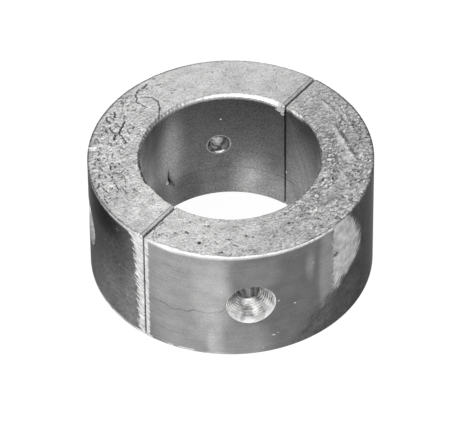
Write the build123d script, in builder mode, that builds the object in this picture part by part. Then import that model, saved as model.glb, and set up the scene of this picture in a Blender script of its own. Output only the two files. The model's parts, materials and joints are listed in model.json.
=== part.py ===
"""Two-piece zinc collar anode: a thick ring, cast and turned, sawn into two equal half rings.

The two halves close round a cylindrical hub and are held by countersunk screws that enter from
the outer wall, two in each half. Sizes are in millimetres. The ring stands on its lower face with
its axis on +Z, the origin is the axis at that face, and the split lies in the XZ plane.
"""

import os
from math import isclose

from build123d import *

# Ring
outer_diameter = 87.0
bore_diameter = 55.0  # seat on the hub
height = 42.0
split_gap = 0.4  # clearance between the two split faces when both halves sit on the hub

# Broken edges
top_outer_chamfer = 0.8
top_bore_chamfer = 1.0
bottom_chamfer = 0.4
split_edge_chamfer = 0.5

# Screw holes, clearance for M6 countersunk screws whose heads sink below the outer wall
screws_per_half = 2
screw_hole_diameter = 6.4
head_recess_diameter = 14.8
head_recess_land = 2.0  # straight wall between the outer wall and the cone
head_cone_angle = 90.0
hole_exit_chamfer = 0.3  # where the hole leaves into the bore

# Sizes that follow from these
outer_radius = outer_diameter / 2
bore_radius = bore_diameter / 2
wall = outer_radius - bore_radius
screw_pitch_angle = 180 / screws_per_half  # equal steps all round the ring
screw_angles = [(screw + 0.5) * screw_pitch_angle for screw in range(screws_per_half)]


def head_seat(angle):
    """Plane where the head's cone starts, square to the ring's radius and facing outwards."""
    outward = Vector(1, 0, 0).rotate(Axis.Z, angle)
    mid_height = Vector(0, 0, height / 2)
    return Plane(origin=outward * (outer_radius - head_recess_land) + mid_height, z_dir=outward)


# Section of the ring: radius along the sketch's X, height along its Y
with BuildSketch(Plane.XZ) as ring_section:
    with Locations((bore_radius, 0)):
        Rectangle(wall, height, align=(Align.MIN, Align.MIN))
    chamfer(ring_section.vertices().group_by(Axis.Y)[0], bottom_chamfer)
    chamfer(ring_section.vertices().group_by(Axis.Y)[-1].sort_by(Axis.X)[-1], top_outer_chamfer)
    chamfer(ring_section.vertices().group_by(Axis.Y)[-1].sort_by(Axis.X)[0], top_bore_chamfer)

# Rear half, on the +Y side of the split
with BuildPart() as half_ring_rear:
    add(ring_section.sketch)
    revolve(axis=Axis.Z)
    split(bisect_by=Plane.ZX.offset(split_gap / 2), keep=Keep.TOP)
    chamfer(half_ring_rear.faces().filter_by(Axis.Y).edges(), split_edge_chamfer)

    with Locations([head_seat(angle) for angle in screw_angles]):
        CounterSinkHole(
            radius=screw_hole_diameter / 2,
            counter_sink_radius=head_recess_diameter / 2,
            depth=outer_radius,
            counter_sink_angle=head_cone_angle,
        )

    round_walls = half_ring_rear.faces().filter_by(GeomType.CYLINDER)
    bore_wall = round_walls.filter_by(lambda face: isclose(face.radius, bore_radius))[0]
    chamfer(bore_wall.inner_wires().edges(), hole_exit_chamfer)

# Front half, the same casting turned half a turn about the ring's axis
with BuildPart() as half_ring_front:
    add(half_ring_rear.part, rotation=(0, 0, 180))

os.makedirs("parts", exist_ok=True)

half_ring_rear.part.label = "half_ring_rear"
export_step(half_ring_rear.part, "parts/half_ring_rear.step")

half_ring_front.part.label = "half_ring_front"
export_step(half_ring_front.part, "parts/half_ring_front.step")
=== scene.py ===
"""Zinc collar anode in two half rings: as-cast upper face, turned walls, sawn ends, drilled holes.

Each half is one closed mesh that stands for its CAD node. Its section is spun about the ring's
axis and the screw holes are cut with spun cutters. The roughness of the cast face, the broken
edges and the marks are then pressed into it. Places on the ring are (degrees about +Z, mm).
"""

import json
import math
import random

import bmesh
import bpy
from mathutils import Matrix, Vector, kdtree, noise


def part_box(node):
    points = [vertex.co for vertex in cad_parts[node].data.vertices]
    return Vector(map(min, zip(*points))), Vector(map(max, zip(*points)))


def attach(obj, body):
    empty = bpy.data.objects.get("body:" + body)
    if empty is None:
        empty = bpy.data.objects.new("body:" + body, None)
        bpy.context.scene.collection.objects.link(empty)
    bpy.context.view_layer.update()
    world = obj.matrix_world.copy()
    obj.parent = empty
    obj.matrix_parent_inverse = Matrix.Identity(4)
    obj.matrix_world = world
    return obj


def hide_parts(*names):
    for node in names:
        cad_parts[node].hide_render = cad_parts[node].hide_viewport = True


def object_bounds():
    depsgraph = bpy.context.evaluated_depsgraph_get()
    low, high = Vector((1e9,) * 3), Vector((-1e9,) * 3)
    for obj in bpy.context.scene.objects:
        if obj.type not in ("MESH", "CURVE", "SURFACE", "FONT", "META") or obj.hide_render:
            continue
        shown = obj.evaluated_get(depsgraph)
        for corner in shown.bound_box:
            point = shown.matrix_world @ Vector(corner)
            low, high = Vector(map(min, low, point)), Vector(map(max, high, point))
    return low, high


bl_info = {
    "name": "Zinc collar anode",
    "version": (1, 0, 0),
    "blender": (4, 5, 0),
    "location": "View3D > Sidebar > Anode",
    "description": "Builds the two cast and turned half rings of a zinc collar anode",
    "category": "Object",
}

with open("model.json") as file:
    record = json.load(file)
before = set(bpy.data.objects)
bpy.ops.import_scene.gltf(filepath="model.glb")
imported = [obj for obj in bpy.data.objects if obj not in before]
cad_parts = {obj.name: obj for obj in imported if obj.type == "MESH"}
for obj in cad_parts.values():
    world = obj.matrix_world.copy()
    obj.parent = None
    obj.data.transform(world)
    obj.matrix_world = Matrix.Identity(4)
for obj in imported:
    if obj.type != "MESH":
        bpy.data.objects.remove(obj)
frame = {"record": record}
cad_low, cad_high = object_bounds()

MM = 0.001
INSET = 0.005 * MM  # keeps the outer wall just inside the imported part's
MOUNTS = {mount["name"]: mount for mount in frame["record"]["mounts"]}
HALVES = {"rear": "half_ring_rear", "front": "half_ring_front"}


# ---------------------------------------------------------------- settings

class AnodeSizes(bpy.types.PropertyGroup):
    """Sizes of the ring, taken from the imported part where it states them."""

    outer_radius: bpy.props.FloatProperty(
        name="Outer radius", description="Radius of the turned outer wall",
        default=cad_high.y - INSET, unit="LENGTH")
    bore_radius: bpy.props.FloatProperty(
        name="Bore radius", description="Radius of the seat on the hub",
        default=MOUNTS["hub_seat"]["dims"]["r_mm"] * MM, unit="LENGTH")
    height: bpy.props.FloatProperty(
        name="Height", description="Height of the ring",
        default=cad_high.z, unit="LENGTH")
    half_gap: bpy.props.FloatProperty(
        name="Half gap", description="Distance of each sawn face from the split plane",
        default=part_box("half_ring_rear")[0].y, unit="LENGTH")
    hole_radius: bpy.props.FloatProperty(
        name="Hole radius", description="Radius of the clear screw holes",
        default=MOUNTS["screw_hole_rear_left"]["dims"]["r_mm"] * MM, unit="LENGTH")
    recess_radius: bpy.props.FloatProperty(
        name="Recess radius", description="Radius of the recess for the screw's head",
        default=7.4 * MM, unit="LENGTH")
    recess_land: bpy.props.FloatProperty(
        name="Recess land", description="Straight wall between the outer wall and the cone",
        default=2.0 * MM, unit="LENGTH")


class AnodeFinish(bpy.types.PropertyGroup):
    """Colours of the zinc's finishes and how rough the cast face is."""

    zinc_colour: bpy.props.FloatVectorProperty(
        name="Zinc", description="Hue of the zinc, which every finish darkens by its own tone",
        default=(1.0, 1.0, 0.995), subtype="COLOR", min=0.0, max=1.0)
    cut_colour: bpy.props.FloatVectorProperty(
        name="Fresh cut", description="Colour of drilled, filed and chamfered zinc",
        default=(0.80, 0.80, 0.79), subtype="COLOR", min=0.0, max=1.0)
    cast_relief: bpy.props.FloatProperty(
        name="Cast relief", description="Scale of the cast face's roughness",
        default=1.0, min=0.0, max=3.0)
    floor_colour: bpy.props.FloatVectorProperty(
        name="Floor", description="Colour of the plain floor",
        default=(0.13, 0.13, 0.13), subtype="COLOR", min=0.0, max=1.0)


# ---------------------------------------------------------------- the ring's form

# Broken edges
BOTTOM_CHAMFER = 0.4 * MM
SAWN_EDGE_ROUND = 0.45 * MM
SAWN_TOP_BEVEL = (0.35 * MM, 1.20 * MM)  # of the front half and of the rear half
HOLE_LIP = 0.15 * MM
HOLE_EXIT_CHAMFER = 0.45 * MM
RECESS_TAPER = 0.5 * MM  # how much the worn recess narrows down to its cone
TOOL_MARKS = (7.5, 0.05 * MM)  # rings cut into the cone: how many, and how deep
PAST_BORE, PAST_WALL = 3 * MM, 1 * MM  # how far a hole's cutter reaches past the walls
BORE_MOUTH, WALL_MOUTH = 0.6 * MM, 1 * MM  # what lies this near a wall follows its curve
RIM_DROP = 1.0 * MM  # how far the spun section's upper corners lie below the top
ON_WALL = 0.05 * MM  # a point this near to a wall's radius lies on it
HAIR = 1e-6  # metres; points this near are the same

# Spacing of the mesh
SECTORS = 16
STEPS_PER_SECTOR = 30
END_CROWDING = 0.4  # how much closer the stations stand at the sawn ends
CAST_SPACING = 0.2 * MM
WALL_SPACING = 1.25 * MM
UNDERSIDE_SPACING = 2.0 * MM
HOLE_SIDES = 72
CONE_ROWS = 30


def steps_between(start, end, spacing):
    """Evenly spaced points from start up to, and without, end."""
    count = max(1, round((end - start).length / spacing))
    return [start.lerp(end, i / count) for i in range(count)]


def ring_section(sizes):
    """The half ring's section, as points (radius, 0, height) once round it."""
    outer, bore = sizes.outer_radius, sizes.bore_radius
    rim = sizes.height - RIM_DROP
    corners = [
        (Vector((bore + BOTTOM_CHAMFER, 0, 0)), UNDERSIDE_SPACING),
        (Vector((outer - BOTTOM_CHAMFER, 0, 0)), BOTTOM_CHAMFER),
        (Vector((outer, 0, BOTTOM_CHAMFER)), WALL_SPACING),
        (Vector((outer, 0, rim)), CAST_SPACING),
        (Vector((bore, 0, rim)), WALL_SPACING),
        (Vector((bore, 0, BOTTOM_CHAMFER)), BOTTOM_CHAMFER),
    ]
    points = []
    for i, (corner, spacing) in enumerate(corners):
        points += steps_between(corner, corners[(i + 1) % len(corners)][0], spacing)
    return points


def spin_half(sizes):
    """Half a ring on the +Y side: the section spun half a turn, with flat sawn ends."""
    bm = bmesh.new()
    verts = [bm.verts.new(point) for point in ring_section(sizes)]
    loop = [bm.edges.new((vert, verts[i - 1])) for i, vert in enumerate(verts)]
    bmesh.ops.spin(bm, geom=verts + loop, cent=(0, 0, 0), axis=(0, 0, 1), dvec=(0, 0, 0),
                   angle=math.pi / SECTORS, steps=STEPS_PER_SECTOR, use_merge=False)
    sector = bm.verts[:] + bm.edges[:] + bm.faces[:]
    for i in range(1, SECTORS):
        copy = bmesh.ops.duplicate(bm, geom=sector)["geom"]
        bmesh.ops.rotate(bm, verts=[part for part in copy if isinstance(part, bmesh.types.BMVert)],
                         cent=(0, 0, 0), matrix=Matrix.Rotation(i * math.pi / SECTORS, 3, "Z"))
    bmesh.ops.remove_doubles(bm, verts=bm.verts, dist=HAIR)
    for vert in bm.verts:
        radius = math.hypot(vert.co.x, vert.co.y)
        share = math.atan2(max(vert.co.y, 0.0), vert.co.x) / math.pi
        share -= END_CROWDING * math.sin(2 * math.pi * share) / (2 * math.pi)
        end = math.asin(sizes.half_gap / radius)
        turn = end + (math.pi - 2 * end) * share
        vert.co = (radius * math.cos(turn), radius * math.sin(turn), vert.co.z)
    ends = [edge for edge in bm.edges if edge.is_boundary]
    bmesh.ops.holes_fill(bm, edges=ends, sides=0)
    bmesh.ops.recalc_face_normals(bm, faces=bm.faces)
    return bm


def hole_profile(sizes):
    """Outline of a screw hole from the ring's axis outwards, as points (along, radius)."""
    outer, bore = sizes.outer_radius, sizes.bore_radius
    hole, recess = sizes.hole_radius, sizes.recess_radius
    cone_top = outer - sizes.recess_land
    cone_foot = cone_top - (recess - hole)
    rings, deep = TOOL_MARKS
    points = [(bore - PAST_BORE, 0), (bore - PAST_BORE, hole + HOLE_EXIT_CHAMFER + PAST_BORE),
              (bore + HOLE_EXIT_CHAMFER, hole)]
    for i in range(CONE_ROWS + 1):
        share = i / CONE_ROWS
        tool_mark = deep * math.sin(share * rings * 2 * math.pi) * min(1, 5 * share)
        points.append((cone_foot + (cone_top - cone_foot) * share,
                       hole + (recess - RECESS_TAPER - hole) * share + tool_mark))
    return points + [(outer - HOLE_LIP, recess),
                     (outer + PAST_WALL, recess + HOLE_LIP + PAST_WALL), (outer + PAST_WALL, 0)]


def screw_hole_cutter(sizes, degrees):
    """Closed cutter for one screw hole, its two mouths following the round walls."""
    bm = bmesh.new()
    verts = [bm.verts.new((along, radius, 0)) for along, radius in hole_profile(sizes)]
    edges = [bm.edges.new((a, b)) for a, b in zip(verts, verts[1:])]
    bmesh.ops.spin(bm, geom=verts + edges, cent=(0, 0, 0), axis=(1, 0, 0), dvec=(0, 0, 0),
                   angle=2 * math.pi, steps=HOLE_SIDES, use_merge=True)
    bmesh.ops.remove_doubles(bm, verts=bm.verts, dist=HAIR)
    for vert in bm.verts:
        for wall, near in ((sizes.outer_radius, vert.co.x > sizes.outer_radius - WALL_MOUTH),
                           (sizes.bore_radius, vert.co.x < sizes.bore_radius + BORE_MOUTH)):
            if near:
                vert.co.x -= wall - math.sqrt(wall ** 2 - vert.co.y ** 2)
    bmesh.ops.recalc_face_normals(bm, faces=bm.faces)
    turn = Matrix.Rotation(math.radians(degrees), 4, "Z")
    lift = Matrix.Translation((0, 0, sizes.height / 2))
    bmesh.ops.transform(bm, matrix=lift @ turn, verts=bm.verts)
    return bm


def hole_angles(half):
    """The angles of a half's screw holes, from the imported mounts."""
    return [math.degrees(math.atan2(mount["axis"][1], mount["axis"][0]))
            for name, mount in MOUNTS.items() if name.startswith("screw_hole_" + half)]


def as_object(bm, name, materials):
    """A new object at the origin that holds the bmesh."""
    mesh = bpy.data.meshes.new(name)
    bm.to_mesh(mesh)
    bm.free()
    for material in materials:
        mesh.materials.append(material)
    piece = bpy.data.objects.new(name, mesh)
    bpy.context.scene.collection.objects.link(piece)
    return piece


def cut(piece, cutter):
    """Cuts one object out of another, keeps the cutter's finish and removes the cutter."""
    boolean = piece.modifiers.new("Cut", "BOOLEAN")
    boolean.operation = "DIFFERENCE"
    boolean.solver = "EXACT"
    boolean.material_mode = "TRANSFER"
    boolean.object = cutter
    bpy.context.view_layer.update()
    evaluated = piece.evaluated_get(bpy.context.evaluated_depsgraph_get())
    mesh = bpy.data.meshes.new_from_object(evaluated)
    piece.modifiers.clear()
    whole = piece.data
    piece.data = mesh
    bpy.data.meshes.remove(whole)
    bpy.data.objects.remove(cutter)


# ---------------------------------------------------------------- marks and zones

# How the cast skin changes round the ring: (degrees, pitting, wrinkling, grain, tone)
CAST_ZONES = [
    (-180, 0.20, 0.08, 0.45, 0.62),
    (-165, 0.35, 0.12, 0.60, 0.65),
    (-140, 0.30, 0.16, 0.65, 0.54),
    (-118, 0.28, 0.30, 0.80, 0.48),
    (-95, 0.32, 0.80, 0.80, 0.425),
    (-60, 0.40, 1.00, 0.80, 0.42),
    (-30, 0.38, 0.95, 0.80, 0.40),
    (-12, 0.16, 0.55, 0.60, 0.41),
    (0, 0.05, 0.12, 0.45, 0.48),
    (20, 0.05, 0.05, 0.45, 0.58),
    (60, 0.08, 0.05, 0.45, 0.59),
    (74, 0.35, 0.10, 0.50, 0.63),
    (90, 0.90, 0.28, 0.60, 0.61),
    (115, 1.00, 0.40, 0.70, 0.60),
    (148, 0.90, 0.32, 0.70, 0.58),
    (162, 0.25, 0.12, 0.55, 0.60),
    (180, 0.12, 0.08, 0.45, 0.60),
]

# Broken edges of the upper face round the ring: (degrees, width at the outer rim in mm, its
# tone, width at the bore in mm, its tone). The tones are partly the cut zinc's own brightness and
# partly painted highlight and shade: high, and the rims wider, where a chamfer or a seam's corner
# catches the light, and low where it turns away.
RIMS = [
    (-180, 0.45, 0.90, 0.30, 0.50),
    (-174, 0.80, 0.90, 0.30, 0.50),
    (-168, 1.20, 0.95, 0.30, 0.50),
    (-161, 0.85, 0.92, 0.30, 0.50),
    (-145, 0.80, 0.92, 0.32, 0.50),
    (-128, 0.62, 0.95, 0.35, 0.50),
    (-110, 0.48, 1.00, 0.40, 0.50),
    (-90, 0.42, 1.00, 0.50, 0.50),
    (-80, 0.42, 0.60, 0.50, 0.50),
    (-60, 0.50, 0.35, 0.50, 0.50),
    (-25, 0.60, 0.25, 0.50, 0.45),
    (-17, 0.70, 0.30, 0.60, 0.60),
    (-14, 0.75, 0.30, 1.05, 0.95),
    (-8, 0.75, 0.30, 1.05, 0.95),
    (-5, 0.80, 0.30, 0.75, 0.70),
    (8, 0.80, 0.30, 1.40, 0.90),
    (20, 0.80, 0.30, 1.20, 0.90),
    (50, 0.70, 0.25, 1.05, 0.80),
    (70, 0.65, 0.20, 1.00, 0.60),
    (88, 0.65, 0.20, 1.05, 0.52),
    (94, 0.65, 0.25, 1.05, 0.36),
    (138, 0.45, 0.30, 1.05, 0.30),
    (150, 0.40, 0.50, 1.05, 0.28),
    (155, 0.40, 0.80, 0.35, 0.40),
    (166, 0.42, 0.85, 0.30, 0.50),
    (174, 0.65, 1.00, 0.30, 0.50),
    (180, 0.85, 1.00, 0.30, 0.50),
]

# Painted shade: a dark line in the cast face along its outer rim: (degrees, width mm, strength)
RIM_SHADE = [
    (-180, 0.16, 0.50), (-135, 0.18, 0.60), (-110, 0.24, 0.85), (-80, 0.35, 0.90),
    (-55, 0.50, 0.95), (-10, 0.45, 0.85), (8, 0.30, 0.45), (40, 0.30, 0.45), (60, 0.45, 0.85),
    (162, 0.45, 0.90), (174, 0.25, 0.70), (180, 0.16, 0.50),
]

# Cracks in the cast face: ([(degrees, radius mm), ...], width mm, depth mm)
CRACKS = [
    ([(75.3, 41.5), (76.5, 41.2), (77.9, 40.7)], 0.28, 0.50),
    ([(79.9, 41.4), (83.7, 40.3), (84.5, 38.9), (86.8, 38.0), (86.0, 33.9)], 0.25, 0.45),
    ([(86.0, 33.9), (89.1, 34.7), (91.8, 33.9)], 0.20, 0.25),
    ([(79.1, 36.0), (78.8, 33.4), (81.3, 31.0), (85.3, 29.3), (89.4, 27.7)], 0.25, 0.45),
]
# Lines of the well marked left of the cast face and of the rest of it, by the pixels of the
# camera's image where they lie: ([(across, down), ...], width mm, depth mm)
LEFT_LINES = [
    ([(107.2, 115.3), (106.6, 117.8), (108.5, 119.8), (110.2, 121.8)], 0.28, 0.45),
    ([(114.3, 110.5), (115.2, 113.5), (114.6, 116.0)], 0.28, 0.45),
    ([(110.6, 112.8), (111.4, 113.2)], 0.24, 0.25),
    ([(116.4, 121.6), (118.6, 124.8), (120.8, 127.0)], 0.25, 0.40),
    ([(124.6, 120.8), (122.3, 124.8), (120.2, 128.8), (118.6, 132.6)], 0.27, 0.45),
    ([(124.2, 114.2), (123.6, 117.2)], 0.24, 0.22),
    ([(102.4, 124.6), (104.2, 126.0), (106.0, 127.2)], 0.24, 0.22),
    ([(109.4, 127.4), (112.5, 130.6), (116.1, 132.4), (118.6, 132.8), (121.8, 135.2),
      (124.3, 138.2), (125.7, 141.2)], 0.25, 0.40),
    ([(116.2, 134.0), (114.2, 136.4), (114.3, 139.4)], 0.28, 0.48),
    ([(102.4, 128.8), (103.2, 129.3)], 0.25, 0.28),
    ([(106.0, 129.6), (107.2, 131.4)], 0.28, 0.40),
    ([(107.4, 131.6), (109.0, 137.5), (108.6, 143.0)], 0.18, 0.13),
    ([(98.6, 133.4), (100.4, 136.0)], 0.22, 0.22),
    ([(94.6, 139.6), (96.6, 137.6), (98.2, 140.0), (98.9, 142.4)], 0.22, 0.25),
    ([(127.2, 129.2), (130.2, 132.2)], 0.22, 0.30),
    ([(134.2, 125.0), (132.4, 127.6)], 0.25, 0.35),
    ([(125.8, 123.2), (126.2, 124.8)], 0.22, 0.22),
    ([(101.2, 138.8), (102.6, 139.4)], 0.22, 0.22),
    ([(119.6, 144.8), (122.8, 147.6)], 0.22, 0.22),
    ([(119.2, 148.6), (119.6, 150.0)], 0.20, 0.20),
    ([(100.2, 152.2), (98.0, 155.0)], 0.22, 0.26),
    ([(96.0, 156.6), (94.8, 158.6)], 0.22, 0.26),
    ([(98.0, 157.4), (98.4, 159.0)], 0.22, 0.24),
    ([(92.9, 162.6), (95.8, 164.4)], 0.22, 0.26),
    ([(99.4, 166.2), (102.6, 170.2)], 0.22, 0.24),
    ([(107.9, 151.9), (107.4, 155.0), (107.8, 160.0)], 0.24, 0.18),
    ([(112.0, 152.4), (112.6, 157.0)], 0.24, 0.22),
    ([(111.6, 161.6), (111.8, 162.6)], 0.22, 0.20),
    ([(110.4, 165.0), (110.8, 168.8)], 0.25, 0.32),
    ([(109.2, 173.0), (110.0, 174.2)], 0.28, 0.35),
    ([(111.8, 175.4), (113.2, 179.0)], 0.22, 0.26),
    ([(113.9, 181.2), (114.6, 182.8)], 0.22, 0.26),
    ([(115.8, 183.8), (118.8, 188.4)], 0.24, 0.28),
    ([(117.2, 190.2), (117.8, 191.2)], 0.24, 0.26),
    ([(118.1, 161.8), (119.4, 163.4)], 0.25, 0.32),
    ([(115.8, 164.4), (115.0, 165.8)], 0.23, 0.30),
    ([(124.6, 167.8), (121.0, 172.2)], 0.20, 0.20),
    ([(121.8, 173.4), (124.6, 176.2), (125.6, 180.2), (125.3, 183.0)], 0.22, 0.20),
    ([(121.6, 185.0), (123.8, 188.6), (125.8, 192.4)], 0.22, 0.20),
    ([(127.8, 169.8), (129.6, 172.8)], 0.20, 0.16),
    ([(99.4, 172.6), (99.0, 175.6), (100.2, 178.2)], 0.22, 0.20),
    ([(94.8, 179.4), (95.4, 180.6)], 0.25, 0.30),
    ([(99.2, 182.4), (98.6, 185.0), (97.4, 187.2)], 0.25, 0.30),
    ([(102.0, 180.8), (103.6, 184.6)], 0.24, 0.25),
    ([(102.8, 186.8), (104.2, 189.0)], 0.22, 0.22),
    ([(106.2, 190.2), (108.8, 192.8)], 0.22, 0.25),
    ([(104.2, 195.2), (105.0, 196.0)], 0.24, 0.28),
    ([(104.8, 197.8), (105.4, 199.4)], 0.25, 0.30),
    ([(106.6, 200.4), (107.6, 202.0)], 0.25, 0.28),
    ([(116.2, 196.0), (117.0, 197.2)], 0.22, 0.20),
    ([(127.4, 198.8), (130.2, 200.2)], 0.22, 0.20),
]
OTHER_LINES = [
    ([(146.5, 105.8), (140.8, 109.6), (140.8, 113.5), (150.4, 119.2)], 0.20, 0.18),
    ([(141.7, 96.2), (147.0, 95.8), (152.3, 96.4)], 0.24, 0.28),
    ([(340.6, 127.6), (344.2, 134.2), (347.4, 139.6), (350.4, 144.6), (353.4, 149.6),
      (356.6, 153.6)], 0.42, 0.21),
    ([(336.4, 121.4), (338.2, 126.2)], 0.28, 0.16),
    ([(341.2, 100.6), (345.4, 107.6), (349.2, 115.4)], 0.34, 0.14),
    ([(350.4, 117.6), (349.8, 120.4)], 0.40, 0.18),
    ([(352.4, 115.4), (353.0, 117.0)], 0.36, 0.20),
    ([(354.2, 111.6), (355.0, 113.0)], 0.34, 0.16),
    ([(355.6, 122.2), (358.2, 126.6), (361.2, 129.2)], 0.34, 0.18),
    ([(360.2, 131.6), (362.2, 139.6), (363.2, 147.8)], 0.42, 0.12),
    ([(354.4, 127.6), (354.9, 129.0)], 0.36, 0.16),
    ([(350.0, 130.2), (349.4, 132.4)], 0.34, 0.14),
    ([(352.6, 136.6), (353.6, 138.0)], 0.34, 0.15),
    ([(353.8, 144.4), (354.4, 145.6)], 0.34, 0.20),
    ([(358.2, 145.8), (358.9, 147.0)], 0.34, 0.20),
    ([(335.3, 115.0), (335.7, 116.2)], 0.30, 0.18),
    ([(322.2, 107.0), (324.4, 111.8), (326.2, 116.6)], 0.20, 0.10),
    ([(322.6, 129.6), (324.2, 132.6), (325.4, 134.4)], 0.30, 0.17),
    ([(342.6, 149.2), (343.6, 151.2)], 0.34, 0.24),
    ([(336.0, 140.6), (336.6, 141.8)], 0.28, 0.15),
    ([(332.6, 137.6), (333.4, 138.8)], 0.28, 0.15),
    ([(326.0, 159.6), (326.6, 160.8)], 0.30, 0.17),
    ([(351.2, 179.2), (356.4, 179.0), (360.2, 182.4), (358.4, 186.8), (353.6, 187.6),
      (350.6, 184.4), (351.2, 179.2)], 0.26, 0.12),
    ([(347.4, 192.2), (349.0, 194.4)], 0.34, 0.15),
    ([(348.8, 197.2), (350.4, 200.0)], 0.36, 0.16),
    ([(343.6, 201.8), (344.6, 203.6)], 0.30, 0.14),
    ([(309.6, 189.4), (312.0, 193.4), (312.8, 199.2), (316.2, 203.4)], 0.30, 0.16),
    ([(311.0, 203.6), (314.6, 206.6)], 0.34, 0.16),
    ([(319.6, 191.4), (321.0, 193.0)], 0.34, 0.16),
    ([(320.8, 195.4), (323.0, 197.4)], 0.36, 0.16),
    ([(341.4, 204.8), (342.4, 209.0)], 0.30, 0.12),
    ([(332.4, 167.4), (333.4, 170.6)], 0.34, 0.16),
    ([(331.6, 173.4), (334.0, 178.0)], 0.36, 0.15),
    ([(339.6, 167.0), (338.4, 172.6)], 0.36, 0.15),
    ([(336.6, 158.4), (337.4, 162.6)], 0.36, 0.14),
    ([(344.6, 158.6), (345.3, 163.0)], 0.34, 0.14),
    ([(153.4, 238.3), (153.0, 233.2), (154.4, 228.8), (158.3, 224.5), (162.7, 221.6)], 0.22, 0.24),
    ([(156.2, 236.6), (155.7, 232.6), (158.0, 228.3), (162.8, 226.1)], 0.20, 0.20),
    ([(159.9, 235.1), (160.9, 233.1), (163.0, 232.8)], 0.22, 0.24),
]
# How much wider and deeper than listed the lines of the left are cut: from this depth in mm up,
# and below it. No line is cut deeper than the limit in mm, and all are then made finer.
DEEP_LINE = 0.20
DEEP_GAIN = (1.18, 1.40)
SHALLOW_GAIN = (1.10, 1.25)
DEEPEST_LINE = 0.65
LEFT_FINENESS = 0.87

# Patches of the cast face: ([(degrees, radius mm), ...], width mm, and how rough and how light
# the skin is there, as shares of what it is beside the patch)
SKIN_PATCHES = [
    ([(-34.7, 33.8), (-46.4, 34.3), (-56.5, 36.2)], 1.1, 0.20, 1.12),
    ([(-63.9, 34.8), (-75.0, 34.8), (-88.5, 35.1)], 2.0, 0.25, 1.00),
    ([(-55.3, 32.5), (-63.0, 32.6), (-72.8, 32.1)], 1.3, 1.60, 0.80),
    ([(-11.2, 33.4), (-20.5, 33.1), (-29.3, 33.0)], 2.4, 0.35, 1.00),
    ([(-91.1, 34.8), (-91.1, 35.8)], 1.0, 0.60, 0.85),
    ([(-94.0, 40.0), (-97.0, 40.6)], 1.4, 0.40, 1.08),
]

# Furrows, and ridges with a negative depth, in the cast face: ([(degrees, radius mm), ...],
# width mm, depth mm)
CAST_FURROWS = [
    ([(-30.0, 35.4), (-41.8, 35.9), (-48.3, 37.0), (-56.0, 39.2)], 0.75, 0.30),
    ([(-30.0, 34.2), (-41.8, 34.7), (-48.3, 35.7), (-56.0, 37.9)], 0.60, -0.28),
    ([(-12.0, 37.2), (-22.0, 37.0), (-33.0, 37.6)], 0.55, -0.26),
    ([(-12.0, 38.5), (-22.0, 38.3), (-33.0, 38.9)], 0.55, 0.24),
    ([(-16.0, 40.6), (-28.0, 40.0), (-42.0, 40.6)], 0.50, 0.22),
    ([(-18.0, 39.6), (-28.0, 39.2), (-42.0, 39.8)], 0.45, -0.22),
    ([(-62.0, 31.5), (-70.0, 33.0), (-76.0, 35.5)], 0.70, 0.24),
    ([(-58.0, 33.0), (-66.0, 34.6), (-72.0, 37.0)], 0.70, -0.24),
    ([(-84.0, 37.0), (-92.0, 36.0), (-97.0, 33.5)], 0.90, -0.22),
    ([(-100.0, 38.0), (-106.0, 36.5), (-112.0, 37.5)], 0.90, -0.20),
]

# Pits in the cast face, by their pixel as the lines: (across, down, width mm, depth mm)
CAST_PITS = [
    (199, 242, 0.50, 0.55), (186, 231, 0.32, 0.40), (188, 232, 0.30, 0.40),
    (175, 232, 0.30, 0.35), (205, 225, 0.30, 0.35), (208, 225, 0.32, 0.40),
    (159, 234, 0.28, 0.35), (190, 221, 0.28, 0.35), (246, 235, 0.36, 0.35),
    (253, 236, 0.34, 0.30), (289, 222, 0.40, 0.45), (293, 222, 0.34, 0.40),
    (285, 213, 0.32, 0.40), (302, 214, 0.32, 0.40),
]

# Tone of the nicks, above 1: a painted glint on the real nicks
NICK_GLINT_TONE = 1.6
# Nicks in the cast face, painted brighter than the zinc can be as glints: ([(degrees, radius mm),
# ...], width mm)
CAST_NICKS = [
    ([(121.6, 41.3), (121.6, 43.5)], 0.40),
    ([(-75.1, 32.6), (-75.6, 32.6)], 0.28),
    ([(-78.0, 33.1), (-78.5, 33.1)], 0.28),
]

# Chatter left by the tool on the bore's upper edge: where it starts and ends in degrees, and
# its pitch and depth in mm
CHATTER = (60, 156, 1.5, 0.12)

# Light and dark patches on the outer wall, painted reflections of the bright and dark surround:
# (degrees, height mm, half-widths in degrees and mm, tone, sharpness of the edge)
OUTER_PATCHES = [
    (-166, 22, 16, 40, 0.36, 2),
    (-151, 26, 7, 14, 0.47, 2),
    (-149, 5, 3.5, 8, 0.52, 3),
    (-138, 4, 10, 9, 0.30, 2),
    (-133, 33, 9, 6, 0.22, 2),
    (-101.5, 26, 4, 18, 0.26, 3),
    (-110, 31, 2.0, 5, 0.24, 2),
    (150, 38, 16, 7.0, 0.023, 2),
    (164, 2, 20, 17, 0.20, 2),
    (176, 2, 7, 20, 0.24, 2),
]
# Tone of the outer wall beside them, a painted reflection that changes round the ring: (degrees,
# tone)
OUTER_TONES = [(-180, 0.27), (-160, 0.34), (-148, 0.30), (-136, 0.165), (-108, 0.155),
               (-84, 0.15), (-60, 0.12), (0, 0.12), (90, 0.10), (135, 0.05), (160, 0.085),
               (180, 0.11)]

# Bright rubbed patch on the outer wall: its left side in degrees, its right side as (height mm,
# degrees), and a dark blotch in it: degrees, height mm and half-widths mm
RUBBED_LEFT = -98.0
RUBBED_RIGHT = [(14.0, -98.0), (17.5, -91.0), (20.0, -84.5), (23.0, -80.5), (27.0, -79.5),
                (34.0, -83.0), (39.0, -87.3), (42.0, -89.5)]
RUBBED_BLOTCH = (-96.8, 29.2, 1.2, 0.8)
# Upper limit of the dark, scratched skin below and right of it: (degrees, height mm)
DARK_LIMIT = [(-122, 0.0), (-114, 5.0), (-106, 11.6), (-98, 15.1), (-93, 17.0), (-75, 19.0)]
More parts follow.
